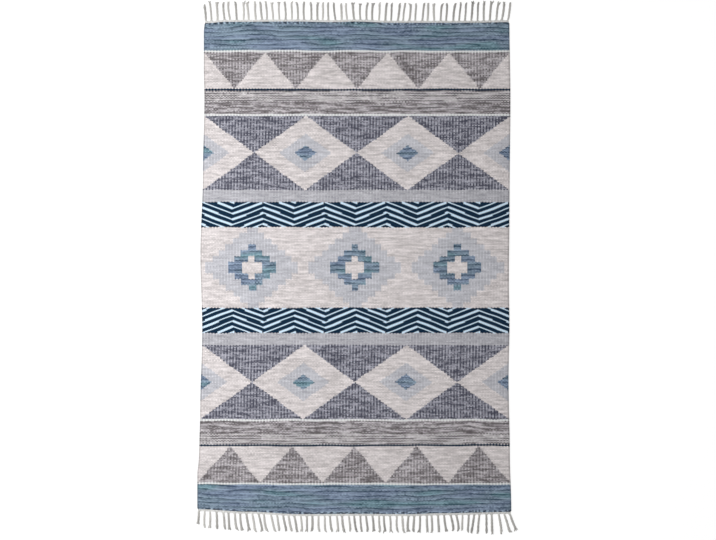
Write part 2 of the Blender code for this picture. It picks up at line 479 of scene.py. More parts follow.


# %% [markdown]
# ## The woven sheet
#
# The cloth is one closed sheet, 5 mm thick, that is drawn as a grid of columns and rows on both faces.
# The columns follow the 200 warps, three to a warp, so that the ribs over the warps can be real. Each
# point carries two numbers for the weave: the warp that it lies on, and how far along the warps it is.
#
# A rug that has been rolled up never lies quite flat. A few long soft swells lift the cloth by 1 or 2 mm.
# They die out before the ends, where the twined cords hold the cloth down.

# %% Swells
Swell = namedtuple("Swell", "x y along across turn height")
SWELLS = [Swell(*row) for row in (
    (-0.38, 0.42, 0.22, 0.060, 80, 0.0016),
    (0.30, 0.50, 0.26, 0.070, 5, 0.0013),
    (0.47, 0.10, 0.20, 0.050, 95, 0.0022),
    (-0.10, 0.08, 0.34, 0.080, 12, 0.0012),
    (-0.47, -0.20, 0.18, 0.050, 85, 0.0024),
    (0.22, -0.36, 0.30, 0.070, -8, 0.0015),
    (0.46, -0.55, 0.14, 0.045, 100, 0.0018),
    (-0.28, -0.56, 0.20, 0.060, 20, 0.0011),
)]
STILL_END = 0.10


def lift(x, y):
    """How high the swells lift the cloth at a place, or at arrays of places."""
    total = 0.0
    for swell in SWELLS:
        turn = math.radians(swell.turn)
        right, up = x - swell.x, y - swell.y
        along = (right * math.cos(turn) + up * math.sin(turn)) / swell.along
        across = (up * math.cos(turn) - right * math.sin(turn)) / swell.across
        total = total + swell.height * np.exp(-along * along - across * across)
    return total * smooth(np.clip((WOVEN_LENGTH / 2 - np.abs(y)) / STILL_END, 0.0, 1.0))


# %% The grid
WARPS = 200
LENGTH_MM = WOVEN_LENGTH / MM
WARP_PITCH_MM = WOVEN_WIDTH / WARPS / MM
WARP_STOPS = (0.0, 1 / 3, 2 / 3)
SELVEDGE_STOPS = (0.0, 0.07, 0.22, 0.45, 0.72)
END_STOPS_MM = (0.0, 0.4, 1.2, 2.5, 4.5, 8.0)
ROW_STEP_MM = 22.0
RIM_ROUND = 0.0024
TURN_BED_DEPTH = 0.0005
TURN_BED_WIDTH = 0.0032
TURN_BED_SLOPE = 0.0022
CORNER_REACH = 0.030


def column_places():
    """The warp coordinate of each column, finer at the selvedges."""
    inner = [warp + stop for warp in range(1, WARPS - 1) for stop in WARP_STOPS]
    return list(SELVEDGE_STOPS) + inner + [WARPS - 1] + [WARPS - stop for stop in reversed(SELVEDGE_STOPS)]


def row_places():
    """The place along the warps of each row, in millimetres from the lower end, finer at the ends."""
    first, last = END_STOPS_MM[-1], LENGTH_MM - END_STOPS_MM[-1]
    count = math.ceil((last - first) / ROW_STEP_MM)
    inner = [first + (last - first) * index / count for index in range(1, count)]
    return list(END_STOPS_MM) + inner + [LENGTH_MM - stop for stop in reversed(END_STOPS_MM)]


def corner_inset(from_end):
    """How far the round corner pulls the side in, at a distance from the end."""
    left = max(CORNER_RADIUS - from_end, 0.0)
    return CORNER_RADIUS - math.sqrt(CORNER_RADIUS ** 2 - left ** 2)


def cloth_places(columns, rows):
    """The X and Y of each grid point, and how far it is from the nearest side and the nearest end."""
    share = np.array(columns) / WARPS
    x = np.empty((len(rows), len(columns)))
    y = np.empty_like(x)
    for index, row in enumerate(rows):
        plain_y = row * MM - WOVEN_LENGTH / 2
        left, right = left_edge(plain_y), right_edge(plain_y)
        across = left + (right - left) * share
        inset = corner_inset(min(row, LENGTH_MM - row) * MM)
        across += inset * np.clip(1.0 - (across - left) / CORNER_REACH, 0.0, 1.0)
        across -= inset * np.clip(1.0 - (right - across) / CORNER_REACH, 0.0, 1.0)
        x[index] = across
        y[index] = [woven_y(place, plain_y) for place in across]
    to_side = np.minimum(x - x[:, :1], x[:, -1:] - x)
    to_end = np.minimum(y - y[:1], y[-1:] - y)
    return x, y, to_side, to_end


def both_faces(point_rows, point_columns):
    """The quads of both faces of the grid, the top's first. The two faces share the points of the rim."""
    top = np.arange(point_rows * point_columns).reshape(point_rows, point_columns)
    under = top.copy()
    inner = (point_rows - 2) * (point_columns - 2)
    under[1:-1, 1:-1] = top.size + np.arange(inner).reshape(point_rows - 2, point_columns - 2)

    def quads(grid):
        return np.stack([grid[:-1, :-1], grid[:-1, 1:], grid[1:, 1:], grid[1:, :-1]], axis=-1).reshape(-1, 4)

    return np.concatenate([quads(top), quads(under)[:, ::-1]])


def store(mesh, name, values):
    """Keep a number on each point of a mesh under a name."""
    attribute = mesh.attributes.new(name, "FLOAT", "POINT")
    attribute.data.foreach_set("value", np.asarray(values))


def add_map(mesh, name, u, v):
    """Give a mesh a flat map from the two places of each corner of its faces."""
    layer = mesh.uv_layers.new(name=name)
    layer.data.foreach_set("uv", np.stack([u, v], axis=-1).ravel())


def weave_grid():
    """The cloth as a plain closed sheet, with its weave coordinates and its map."""
    columns, rows = column_places(), row_places()
    x, y, to_side, to_end = cloth_places(columns, rows)
    quads = both_faces(len(rows), len(columns))
    rim = 1.0 - np.clip(np.minimum(to_side, to_end) / RIM_ROUND, 0.0, 1.0)
    bed = TURN_BED_DEPTH * (1.0 - np.clip((to_side - TURN_BED_WIDTH) / TURN_BED_SLOPE, 0.0, 1.0))
    fullness = np.sqrt(1.0 - rim * rim) * (CLOTH_THICKNESS / 2 - bed)
    middle = lift(x, y) + CLOTH_THICKNESS / 2
    across = np.broadcast_to(np.array(columns), x.shape)
    along = np.broadcast_to(np.array(rows)[:, None] - LENGTH_MM / 2, x.shape)

    def on_both(values):
        return np.concatenate([values.ravel(), values[1:-1, 1:-1].ravel()])

    height = np.concatenate([(middle + fullness).ravel(), (middle - fullness)[1:-1, 1:-1].ravel()])
    mesh = bpy.data.meshes.new("kilim_cloth_woven")
    mesh.from_pydata(np.stack([on_both(x), on_both(y), height], axis=-1).tolist(), [], quads.tolist())
    store(mesh, "middle", on_both(middle))
    corners = quads.ravel()
    warp, place = on_both(across)[corners], on_both(along)[corners]
    add_map(mesh, "OFBake", warp / WARPS, 0.5 + place / LENGTH_MM)
    add_map(mesh, "weave", warp, place)
    return add_object("kilim_cloth_woven", mesh)


cloth = weave_grid()
print("plain sheet:", count_triangles(cloth), "triangles")

# %% [markdown]
# ## The weave's colours
#
# The wefts are wool. Blues, greys, a warm taupe and undyed creams sit close together in tone, and each
# yarn is a little uneven, because it is spun from more than one shade. Colours are given here as they
# look on a screen, and turned into the light values that Blender works with.
#
# The picture is a plain banded kilim of the traditional kind, the same from both ends to the middle: a
# field of streaky blue, a row of triangles, stripes, hourglasses, zigzags and a row of stepped lozenges.

# %% Yarns
def screen_colour(red, green, blue):
    """A colour given as it looks on a screen, 0 to 255, as light values."""
    def light(value):
        share = value / 255
        return share / 12.92 if share <= 0.04045 else ((share + 0.055) / 1.055) ** 2.4

    return (light(red), light(green), light(blue), 1.0)


Yarns = namedtuple("Yarns", "dark light")


def spun_from(dark, light):
    """A yarn's dark and light shades, as they look on a screen."""
    return Yarns(screen_colour(*dark), screen_colour(*light))


CREAM = spun_from((168, 162, 162), (231, 224, 224))
BLUE = spun_from((50, 68, 85), (147, 166, 183))
VIOLET_BLUE = spun_from((59, 69, 98), (149, 162, 193))
TEAL = spun_from((41, 76, 85), (125, 164, 172))
BLUE_GREY = spun_from((144, 144, 150), (196, 195, 201))
TAUPE = spun_from((98, 93, 95), (196, 191, 195))
PALE_GREY = spun_from((156, 156, 163), (206, 206, 212))
NAVY = spun_from((72, 73, 86), (171, 171, 182))
PINSTRIPE = spun_from((92, 87, 89), (216, 212, 214))
PETROL = screen_colour(7, 36, 58)
PALE_BLUE = screen_colour(196, 216, 232)
OFF_WHITE = screen_colour(216, 217, 217)
# END_LINE, in dashes along both ends: partly a dark yarn, partly a painted shade at the cloth's edge.
END_LINE = screen_colour(44, 52, 64)

# %% [markdown]
# ## Finding the weft under each point
#
# In plain weave the picks, the single passes of the weft, take turns: every second pick goes over a given
# warp, and the others over its neighbours. So the picks that show on one warp lie half a step from those
# on the next, like bricks. The formulas below find the warp and the pick that a point belongs to, and
# where the point lies on that short float of yarn. The picks wave a little, because the weft is beaten
# down unevenly.

# %% Floats
PICK_PITCH_MM = 1.9
WAVE_LENGTH_MM = 115.0
WAVE_DEPTH_MM = 55.0
WAVE_SWING_MM = 7.0
STREAKY_SWING_MM = 16.0
SELVEDGE_CALM_WARPS = 10.0
Float = namedtuple("Float", "odd pick from_crest from_middle x y along_pick")


def find_float(tree, across, along, swing):
    """The float of weft at a place, from its warp coordinate, its place along the warps and the swing."""
    wave = tree.noise(across * (WARP_PITCH_MM / WAVE_LENGTH_MM), along / WAVE_DEPTH_MM, detail=1.0) - 0.5
    to_selvedge = smaller(across, WARPS - across)
    calm = tree.eased(to_selvedge, 0.0, SELVEDGE_CALM_WARPS)
    picks = (along + wave * swing * calm) / PICK_PITCH_MM
    warp = whole(across)
    odd = warp % 2.0
    turn = (picks + odd) / 2.0
    pick = whole(turn) * 2.0 - odd + 1.0
    from_crest = across - warp - 0.5
    from_middle = turn - whole(turn) - 0.5
    x = (warp + 0.5 - WARPS / 2) * WARP_PITCH_MM
    along_pick = (across - WARPS / 2) * WARP_PITCH_MM
    return Float(odd, pick, from_crest, from_middle, x, pick * PICK_PITCH_MM, along_pick)


# %% [markdown]
# ## How the tone varies
#
# Hand-spun wool is uneven, and the weaver lets it show. A streak is a stretch of one pick that is lighter
# or darker than the next. In the blue field, dark picks gather in long lines that bow, part and die out.
# Where two colours take turns pick by pick, each shows on every second warp: fine upright stripes, broken
# where two picks of one colour follow each other. At the selvedges a shade is painted: over the outermost
# warp the colour is darker, and the pick-by-pick tone turns to its dark yarn.
#
# Each tone is smooth noise. A patch or a cloud below is the size of one pattern of noise, with a seed of its
# own, and a step holds the two values between which a tone sets in.

# %% Tones
Step = namedtuple("Step", "start stop low high", defaults=(0.0, 1.0))
Patch = namedtuple("Patch", "length_mm picks seed")
LONG_STREAKS = Patch(62.0, 2.3, 3.3)
SHORT_STREAKS = Patch(22.0, 2.0, 7.7)
GRAINS = Patch(13.0, 1.9, 33.1)
STRAY_PICKS = Patch(32.0, 2.1, 9.4)
STRAY_FLOATS = Patch(10.0, 1.2, 14.6)
CROSSINGS = Patch(44.0, 2.1, 61.7)
STRIPE_STRENGTHS = Patch(60.0, 3.1, 51.5)
Cloud = namedtuple("Cloud", "length_mm depth_mm seed")
BOWS = Cloud(110.0, 40.0, 21.3)
DRIFTS = Cloud(170.0, 26.0, 40.9)
STREAK_CONTRAST = 1.2
SALT_MIDDLE = 0.36
ODD_WARP_CONTRAST = 0.44
STRAY_PICK_CONTRAST, STRAY_FLOAT_CONTRAST = 1.5, 1.4
# Painted shade at the selvedges: over the outermost warp the pick-by-pick tone turns dark, and the colour is
# darkened.
SALT_LOST_TO_SELVEDGE_SHADE = 0.6
SELVEDGE_SHADE_WIDTH = Step(1.0, 0.6)
STRIPE_EVERY_PICKS, STRIPE_PICKS = 4.0, 1.9
STRIPE_SHOWS = Step(0.25, 0.60)
Tones = namedtuple("Tones", "streak grain salt line crossing stripe drift packed")


def patches(tree, float_, patch):
    """Noise in patches, so many millimetres long and so many picks high."""
    return tree.noise(float_.along_pick / patch.length_mm, float_.pick / patch.picks, patch.seed)


def clouds(tree, float_, cloud):
    """Noise in wide clouds, so many millimetres long and so many deep."""
    return tree.noise(float_.x / cloud.length_mm, float_.y / cloud.depth_mm, cloud.seed)


def salt_and_pepper(tree, float_, packed):
    """The tone where two yarns take turns, pick by pick."""
    stray_pick = patches(tree, float_, STRAY_PICKS) - 0.5
    stray_float = patches(tree, float_, STRAY_FLOATS) - 0.5
    tone = (float_.odd - 0.5) * ODD_WARP_CONTRAST + SALT_MIDDLE
    tone = tone + stray_pick * STRAY_PICK_CONTRAST + stray_float * STRAY_FLOAT_CONTRAST
    # The painted shade at the selvedge (packed) turns the tone to the dark yarn there.
    return held_between(tone - packed * SALT_LOST_TO_SELVEDGE_SHADE, 0.0, 1.0)


# %% Long lines
LINE_PICKS = 7.7
LINE_BOW = 1.0
LINE_LENGTH_MM = 80.0
LINE_SPREAD, LINE_SEED = 3.7, 5.2
LINE_CONTRAST = 0.9
Line = namedtuple("Line", "place edge shows")
DARK_LINE = Line(0.50, Step(0.19, 0.06), Step(0.26, 0.50))
LIGHT_LINE = Line(0.76, Step(0.15, 0.05), Step(0.62, 0.40))


def long_lines(tree, float_):
    """The long lines of the blue field: above 0 on dark picks, and below 0 on the light ones beside them."""
    bow = (clouds(tree, float_, BOWS) - 0.5) * LINE_BOW
    course = float_.pick / LINE_PICKS + bow
    place = course - whole(course)
    strength = tree.noise(float_.x / LINE_LENGTH_MM, whole(course) * LINE_SPREAD, LINE_SEED)

    def along_line(line):
        return tree.eased(abs(place - line.place), *line.edge) * tree.eased(strength, *line.shows)

    return (along_line(DARK_LINE) - along_line(LIGHT_LINE)) * LINE_CONTRAST


def find_tones(tree, across, float_):
    """Every tone at a float."""
    # packed: where the selvedge shade is painted, 1 over the outermost warp and 0 from the next warp on.
    packed = tree.eased(smaller(across, WARPS - across), *SELVEDGE_SHADE_WIDTH)
    streaks = patches(tree, float_, LONG_STREAKS) + patches(tree, float_, SHORT_STREAKS) - 1.0
    striped = (float_.pick % STRIPE_EVERY_PICKS) < STRIPE_PICKS
    return Tones(
        streak=held_between(streaks * STREAK_CONTRAST + 0.5, 0.0, 1.0),
        grain=patches(tree, float_, GRAINS),
        salt=salt_and_pepper(tree, float_, packed),
        line=long_lines(tree, float_),
        crossing=patches(tree, float_, CROSSINGS) - 0.5,
        stripe=striped * tree.eased(patches(tree, float_, STRIPE_STRENGTHS), *STRIPE_SHOWS),
        drift=clouds(tree, float_, DRIFTS),
        packed=packed,
    )


# %% [markdown]
# ## The bands and their figures
#
# Each band of the rug is a stretch between two distances from the nearer end. A figure in it is a test on
# the float's own place, so its outline climbs in steps of whole floats, as in the real cloth. Slanted
# lines in a kilim are always such steps. How light the yarn of a field is at a float is a sum of the tones
# above, so each field's mix is a base and a weight for every tone that counts in it.

# %% Bands
Band = namedtuple("Band", "start stop")
END_LINE_DEPTH = 6.0
STREAKY_FIELD = Band(0, 96)
FIRST_LINE = Band(96, 102)
TRIANGLES = Band(102, 222)
PETROL_LINE = Band(222, 228)
PINSTRIPES = Band(228, 263)
TAUPE_FIELD = Band(263, 303)
SECOND_LINE = Band(303, 309)
HOURGLASSES = Band(309, 549)
GREY_FIELD = Band(549, 589)
ZIGZAGS = Band(589, 669)
CENTRE = Band(669, 810)
TRIANGLE_WIDTH = 200
HOURGLASS_WIDTH = WOVEN_WIDTH / MM / 3
HOURGLASS_CORE, HOURGLASS_HEART = 62, 26
ZIGZAG_WIDTH = 200
ZIGZAG_RISE = 40
ZIGZAG_PITCH = 18.0
ZIGZAG_PETROL_SHARE = 0.68
LOZENGE_STEP = 19.0
LOZENGE_SLOPE = 1.15
LOZENGE_REACH, LOZENGE_CORE, LOZENGE_HEART = 150, 78, 32

# %% Yarn mixes
Mix = namedtuple("Mix", "base streak grain salt line crossing stripe", defaults=[0.0] * 7)
CREAM_MIX = Mix(base=-0.12, streak=0.74, grain=0.50)
BLUE_MIX = Mix(base=-0.09, streak=0.40, grain=0.85, line=-0.56)
TRIANGLE_MIX = Mix(base=-0.49, streak=0.80, grain=0.40, salt=0.70)
PINSTRIPE_MIX = Mix(base=0.045, streak=0.40, grain=0.85, stripe=-0.68)
TAUPE_FIELD_MIX = Mix(base=-0.37, streak=0.40, grain=1.20, line=-0.45, crossing=1.90)
HOURGLASS_MIX = Mix(salt=1.00)
PALE_MIX = Mix(streak=0.55, salt=0.45)
GREY_MIX = Mix(base=-0.23, streak=0.60, grain=0.45, salt=0.42)
TURNS_VIOLET = Step(0.46, 0.62, high=0.4)
TURNS_TEAL = Step(0.42, 0.30, high=0.6)


def yarn(tree, share, yarns):
    """A colour between the dark and the light shade of a yarn."""
    return tree.colour_mix(share, yarns.dark, yarns.light)


def lightness(tones, mix):
    """How light a yarn is at a float: the sum of the tones, each by its weight in the mix."""
    total = mix.base
    for name in mix._fields[1:]:
        weight = getattr(mix, name)
        if weight:
            total = getattr(tones, name) * weight + total
    return total


def blue_wool(tree, tones):
    """Streaky blue with long dark lines, which turns to violet and to teal in patches."""
    share = lightness(tones, BLUE_MIX)
    violet, teal = tree.eased(tones.drift, *TURNS_VIOLET), tree.eased(tones.drift, *TURNS_TEAL)
    blue = tree.colour_mix(violet, yarn(tree, share, BLUE), yarn(tree, share, VIOLET_BLUE))
    return tree.colour_mix(teal, blue, yarn(tree, share, TEAL))


# %% Figures
def inside(value, band):
    """1 inside a band, 0 outside."""
    return (value > band.start) * (value < band.stop)


def from_cell_middle(x, width):
    """How far a place is from the middle of its cell, in a row of cells that is centred on the rug."""
    return abs((x + width / 2) % width - width / 2)


def find_triangles(depth, x):
    """1 in the triangles, which stand on the first line and point to the rug's middle."""
    rise = (depth - TRIANGLES.start) * (TRIANGLE_WIDTH / 2 / (TRIANGLES.stop - TRIANGLES.start))
    return (from_cell_middle(x, TRIANGLE_WIDTH) + rise < TRIANGLE_WIDTH / 2) * inside(depth, TRIANGLES)


def find_hourglasses(depth, x):
    """1 in the hourglasses, in the cores of the lozenges between them, and in the hearts of the cores."""
    across = from_cell_middle(x, HOURGLASS_WIDTH)
    slope = (HOURGLASSES.stop - HOURGLASSES.start) / HOURGLASS_WIDTH
    off_middle = abs(depth - (HOURGLASSES.start + HOURGLASSES.stop) / 2)
    from_core = off_middle + (HOURGLASS_WIDTH / 2 - across) * slope
    figures = (off_middle > across * slope, from_core < HOURGLASS_CORE, from_core < HOURGLASS_HEART)
    return [figure * inside(depth, HOURGLASSES) for figure in figures]


def zigzag_colour(tree, depth, x):
    """Petrol stripes on pale blue, which rise and fall side by side."""
    slant = from_cell_middle(x, ZIGZAG_WIDTH) * (2 * ZIGZAG_RISE / ZIGZAG_WIDTH)
    stripe = ((depth + slant) / ZIGZAG_PITCH) % 1.0
    return tree.colour_mix(stripe < ZIGZAG_PETROL_SHARE, PALE_BLUE, PETROL)


def find_lozenges(depth, x, y):
    """1 in the stepped lozenges, in their cores, and in the hearts of the cores."""
    steps = whole(abs(y) / LOZENGE_STEP) * LOZENGE_STEP
    from_middle = from_cell_middle(x, HOURGLASS_WIDTH) + steps * LOZENGE_SLOPE
    reaches = (LOZENGE_REACH, LOZENGE_CORE, LOZENGE_HEART)
    return [(from_middle < reach) * inside(depth, CENTRE) for reach in reaches]


# %% The picture
END_DASHES = Patch(10.0, 1.7, 71.9)
DARK_DASHES = Step(0.46, 0.60, high=0.9)
LIGHT_DASHES = Step(0.46, 0.34, high=0.6)


def weave_picture(tree, float_, tones):
    """The colour of each float: a cream ground, with each field and figure laid over it in turn."""
    x, y = float_.x, float_.y
    depth = LENGTH_MM / 2 - abs(y)

    def wool(yarns, mix):
        return yarn(tree, lightness(tones, mix), yarns)

    cream, pale, blue = wool(CREAM, CREAM_MIX), wool(PALE_GREY, PALE_MIX), blue_wool(tree, tones)
    hourglass, hourglass_core, hourglass_heart = find_hourglasses(depth, x)
    lozenge, lozenge_core, lozenge_heart = find_lozenges(depth, x, y)
    at_end, dash = depth < END_LINE_DEPTH, patches(tree, float_, END_DASHES)
    layers = [
        (depth < STREAKY_FIELD.stop, blue),
        (find_triangles(depth, x), wool(TAUPE, TRIANGLE_MIX)),
        (inside(depth, PINSTRIPES), wool(PINSTRIPE, PINSTRIPE_MIX)),
        (inside(depth, TAUPE_FIELD), wool(TAUPE, TAUPE_FIELD_MIX)),
        (hourglass, wool(NAVY, HOURGLASS_MIX)),
        (hourglass_core, pale),
        (hourglass_heart, blue),
        (inside(depth, GREY_FIELD), wool(BLUE_GREY, GREY_MIX)),
        (inside(depth, ZIGZAGS), zigzag_colour(tree, depth, x)),
        (lozenge, pale),
        (lozenge_core, blue),
        (lozenge_heart, cream),
        (inside(depth, FIRST_LINE), OFF_WHITE),
        (inside(depth, SECOND_LINE), OFF_WHITE),
        (inside(depth, PETROL_LINE), PETROL),
        # Dark dashes along each end: partly a dark yarn, partly a painted shade at the cloth's edge.
        (at_end * tree.eased(dash, *DARK_DASHES), END_LINE),
        (at_end * tree.eased(dash, *LIGHT_DASHES), PALE_BLUE),
    ]
    cloth = cream
    for where, colour in layers:
        cloth = tree.colour_mix(where, cloth, colour)
    return cloth


# %% [markdown]
# ## The shape of a float
#
# A float is a short oval of soft two-ply yarn: full in its middle, slimmer where it dives between the
# warps, with slanted grooves between its plies and fine fibres along it. These forms are under a millimetre
# deep, so they are a bump, and a painted shade in the colour: darker where a float falls away at its ends
# and sides, in the grooves between its plies and in the creases where four floats meet.

# %% Weave material
STREAKY_FROM, STREAKY_TO = Step(8.0, 34.0), Step(94.0, 70.0)
FLOAT_WAIST = 0.35
FLOAT_END_FALL, FLOAT_SIDE_FALL = 0.50, 0.85
PLY_WAVES = 0.62
PLY_SLANT, PLY_SHIFT = 0.55, 0.37
FIBRE_WAVES_ALONG, FIBRE_WAVES_ACROSS = 0.9, 3.4
FIBRE_SLANT, FIBRE_SHIFT = 0.3, 13.7
FIBRE_HEIGHT, PLY_HEIGHT = 0.18, 0.16
WOOL_BUMP, WOOL_BUMP_DEPTH = 0.8, 0.8 * MM
# Painted shade: the colour is darker where a float falls away, in its ply grooves and at the selvedge. The
# fibres' noise is a random tone and a painted shade of the fibres.
FULLNESS_PAINTED_SHADE, FIBRE_SHADES = (0.755, 1.175), (0.80, 1.20)
PLY_GROOVE_PAINTED_SHADE, SELVEDGE_PAINTED_SHADE = (0.94, 1.06), (1.00, 0.70)
WOOL_SURFACE = {"Roughness": 0.95, "Specular IOR Level": 0.08, "Sheen Weight": 0.06, "Sheen Roughness": 0.6}


def float_relief(tree, float_, x_mm, along):
    """How full a float is, and how high the plies and the fibres on it are, at a place."""
    crest = float_.from_crest * 2.0
    off = smaller(abs(float_.from_middle) * 2.0 / (1.0 - crest * crest * FLOAT_WAIST), 1.0)
    end_fall = crest * crest * crest * crest * FLOAT_END_FALL
    fullness = (1.0 - end_fall) * (1.0 - off * off * FLOAT_SIDE_FALL)
    turns = x_mm * PLY_WAVES + float_.from_middle * PLY_SLANT + float_.pick * PLY_SHIFT
    ply = sine(turns * (2.0 * math.pi)) * 0.5 + 0.5
    along_fibre = x_mm * FIBRE_WAVES_ALONG + float_.pick * FIBRE_SHIFT
    across_fibre = (along + x_mm * FIBRE_SLANT) * FIBRE_WAVES_ACROSS
    return fullness, ply, tree.noise(along_fibre, across_fibre, detail=1.0)


def weave_material():
    """Wool floats over the warps: their colour, their rounded shape and the fibres on them."""
    material, tree = make_material("woven_wool")
    across, along, _ = tree.parts(tree.node("ShaderNodeUVMap", {"uv_map": "weave"}))
    depth = LENGTH_MM / 2 - abs(along)
    streaky = tree.eased(depth, *STREAKY_FROM) * tree.eased(depth, *STREAKY_TO)
    swing = between(WAVE_SWING_MM, STREAKY_SWING_MM, streaky)
    float_ = find_float(tree, across, along, swing)
    tones = find_tones(tree, across, float_)
    picture = weave_picture(tree, float_, tones)

    fullness, ply, fibre = float_relief(tree, float_, across * WARP_PITCH_MM, along)
    # The colour is darkened by a painted shade of the float's form, its plies and fibres, and of the
    # selvedge.
    shade = between(*FULLNESS_PAINTED_SHADE, fullness) * between(*FIBRE_SHADES, fibre)
    shade = shade * between(*PLY_GROOVE_PAINTED_SHADE, ply) * between(*SELVEDGE_PAINTED_SHADE, tones.packed)
    colour = tree.node("ShaderNodeVectorMath", {"operation": "SCALE"}, {"Vector": picture, "Scale": shade})
    height = fullness + fibre * FIBRE_HEIGHT + ply * PLY_HEIGHT
    normal = tree.bump(height, WOOL_BUMP, WOOL_BUMP_DEPTH)
    finish_material(tree, {"Base Color": colour, "Normal": normal, **WOOL_SURFACE})
    return material


woven_wool = weave_material()
print("weave nodes:", len(woven_wool.node_tree.nodes))

# %% [markdown]
# ## Raising the ribs
#
# The warps show as ribs, one every 5 mm. They could be left to the shader's bump, but seen from low down
# the ribs break the light along the whole cloth, so they are real here. A Geometry Nodes tree reads each
# point's warp coordinate and lowers the cloth between the warps, on both faces alike.

# %% Ribs by Geometry Nodes
RIB_DEPTH = 0.00045


def rib_tree():
    """Lower the cloth between the warps, towards its own middle."""
    tree, given = geometry_tree("warp_ribs", ["Rib Depth", "Half Thickness"])
    across, _, _ = tree.parts(tree.read("weave", "FLOAT_VECTOR"))
    middle = tree.read("middle")
    from_crest = (across - whole(across) - 0.5) * 2.0
    lowered = from_crest * from_crest * given["Rib Depth"] / given["Half Thickness"]
    _, _, z = tree.parts(tree.node("GeometryNodeInputPosition"))
    offset = tree.vector(0.0, 0.0, (middle - z) * lowered)
    raised = tree.node("GeometryNodeSetPosition", None, {"Geometry": given["Geometry"], "Offset": offset})
    return close_tree(tree, raised, given["Material"])


grow(cloth, rib_tree(), {
    "Rib Depth": RIB_DEPTH, "Half Thickness": CLOTH_THICKNESS / 2, "Material": woven_wool,
})
print("ribbed sheet:", count_triangles(cloth), "triangles")

# %% [markdown]
# ## Where the tassels go
#
# The warps that stick out of the cloth's ends are tied together in fours. The weaver does this by eye, so
# the tassels are not evenly spaced, and each one leans, bends and ends a little differently. The packed
# fringes were laid out from the same tables and the same seeds, so each tassel below follows the one that
# it stands for. A second seeded draw settles what only shows from near: how far the strands are twisted
# round each other, and which tassels have a second knot at the tip.

# %% Laying out the tassels
TIED_SHARE = 0.62
LEAST_TURNS, MOST_TURNS = 0.8, 2.0
Tassel = namedtuple("Tassel", "root start lean bend length fullness tail tied turns phase")


def lay_tassels(fringe):
    """The tassels of a fringe, from left to right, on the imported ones."""
    rng = random.Random(fringe.seed)
    near = random.Random(fringe.seed + 1)
    end = fringe.outward * WOVEN_LENGTH / 2
    first = left_edge(end) + ROOT_INSET
    pitch = (right_edge(end) - ROOT_INSET - first) / (fringe.tassels - 1)
    tassels = []
    last_tip = -WOVEN_WIDTH
    for index in range(fringe.tassels):
        at_corner = index in (0, fringe.tassels - 1)
        scatter = rng.uniform(-PITCH_SCATTER, PITCH_SCATTER)
        root = first + pitch * (index if at_corner else index + scatter)
        lean = eased(fringe.lean, root) + rng.uniform(-LEAN_SCATTER, LEAN_SCATTER)
        lean = max(lean, last_tip + TIP_SPACING - root)
        bend = rng.uniform(-BEND_SCATTER, BEND_SCATTER)
        reach = FRINGE_REACH + eased(fringe.trim, root) + rng.uniform(-REACH_SCATTER, REACH_SCATTER)
        length = reach - eased(fringe.edge, root) - WEB_GAP - WEB_WIDTH
        fullness = 1.0 + rng.uniform(-FULLNESS_SCATTER, FULLNESS_SCATTER)
        tail = 1.0 + rng.uniform(-TAIL_SCATTER, TAIL_SCATTER)
        start = end_edge(fringe, root) + fringe.outward * (WEB_GAP + WEB_WIDTH)
        tied = float(near.random() < TIED_SHARE)
        turns = near.choice((-1, 1)) * near.uniform(LEAST_TURNS, MOST_TURNS)
        tassels.append(Tassel(root, start, lean, bend, length, fullness, tail, tied, turns, near.random()))
        last_tip = root + lean
    return tassels


def set_out_points(name, places, records, **numbers):
    """An object of bare points, with the fields of a record and further numbers kept on each."""
    mesh = bpy.data.meshes.new(name)
    mesh.from_pydata(places, [], [])
    fields = dict(zip(records[0]._fields, zip(*records)))
    for key, values in {**fields, **numbers}.items():
        store(mesh, key, values)
    return add_object(name, mesh)


# %% [markdown]
# ## The path of a strand
#
# Each tassel is four soft cotton strands. They come out of the cloth 5 mm apart, but never from beyond its
# sides. They are drawn together into a knot, and lie twisted round each other on the floor down to the tip.
# Towards the tip the yarn has opened, so the tassel is fuller there. It hooks a little to one side, and its
# strands don't end at one length.
#
# A strand's path is the tassel's middle line plus a small circle round it. The circle is squeezed where a
# knot holds the strands, and opens at a tip that isn't tied. Written as formulas, this is one Geometry
# Nodes tree: a line of points is set on each root, four times over, every point is moved to its place on
# the path, and the path gets the thickness of the yarn.

# %% Tassel formulas
STRANDS = 4
UPPER_STRAND_RADIUS, LOWER_STRAND_RADIUS = 0.00150, 0.00158
DRAWN_IN = 0.0090
GATHERED = 0.0034
WARP_REACH = 0.0075
OUTER_WARP_INSET = 0.0030
FLATNESS = 0.55
ROOT_KNOT, TAIL_KNOT = 0.11, 0.925
ROOT_KNOT_HALF, TAIL_KNOT_HALF = 0.075, 0.055
KNOT_SQUEEZE = 0.45
TAIL_START, TAIL_FULL = 0.70, 0.93
HOOK_SPREAD = 40.0
TIP_HOOK = 0.0026


def middle_line(tree, given, out):
    """A tassel's middle line at a distance out from its root: X, Y, the share and the way across."""
    length = tree.read("length")
    share = held_between(out / length, 0.0, 1.0)
    turn = share * math.pi
    lean, bend = tree.read("lean"), tree.read("bend")
    hook = tree.eased(share, TAIL_START, 1.0) ** 2.0 * sine(tree.read("phase") * HOOK_SPREAD) * TIP_HOOK
    x = tree.read("root") + lean * share + bend * sine(turn) + hook
    y = tree.read("start") + given["Outward"] * out
    slant = (lean + bend * math.pi * cosine(turn)) / length
    steep = (slant * slant + 1.0) ** 0.5
    return x, y, share, (1.0 / steep, -(given["Outward"] * slant / steep))


def beside(middle, across, aside, height):
    """A place beside a tassel's middle line, at a height over the floor."""
    x, y = middle
    return x.tree.vector(x + across[0] * aside, y + across[1] * aside, height)


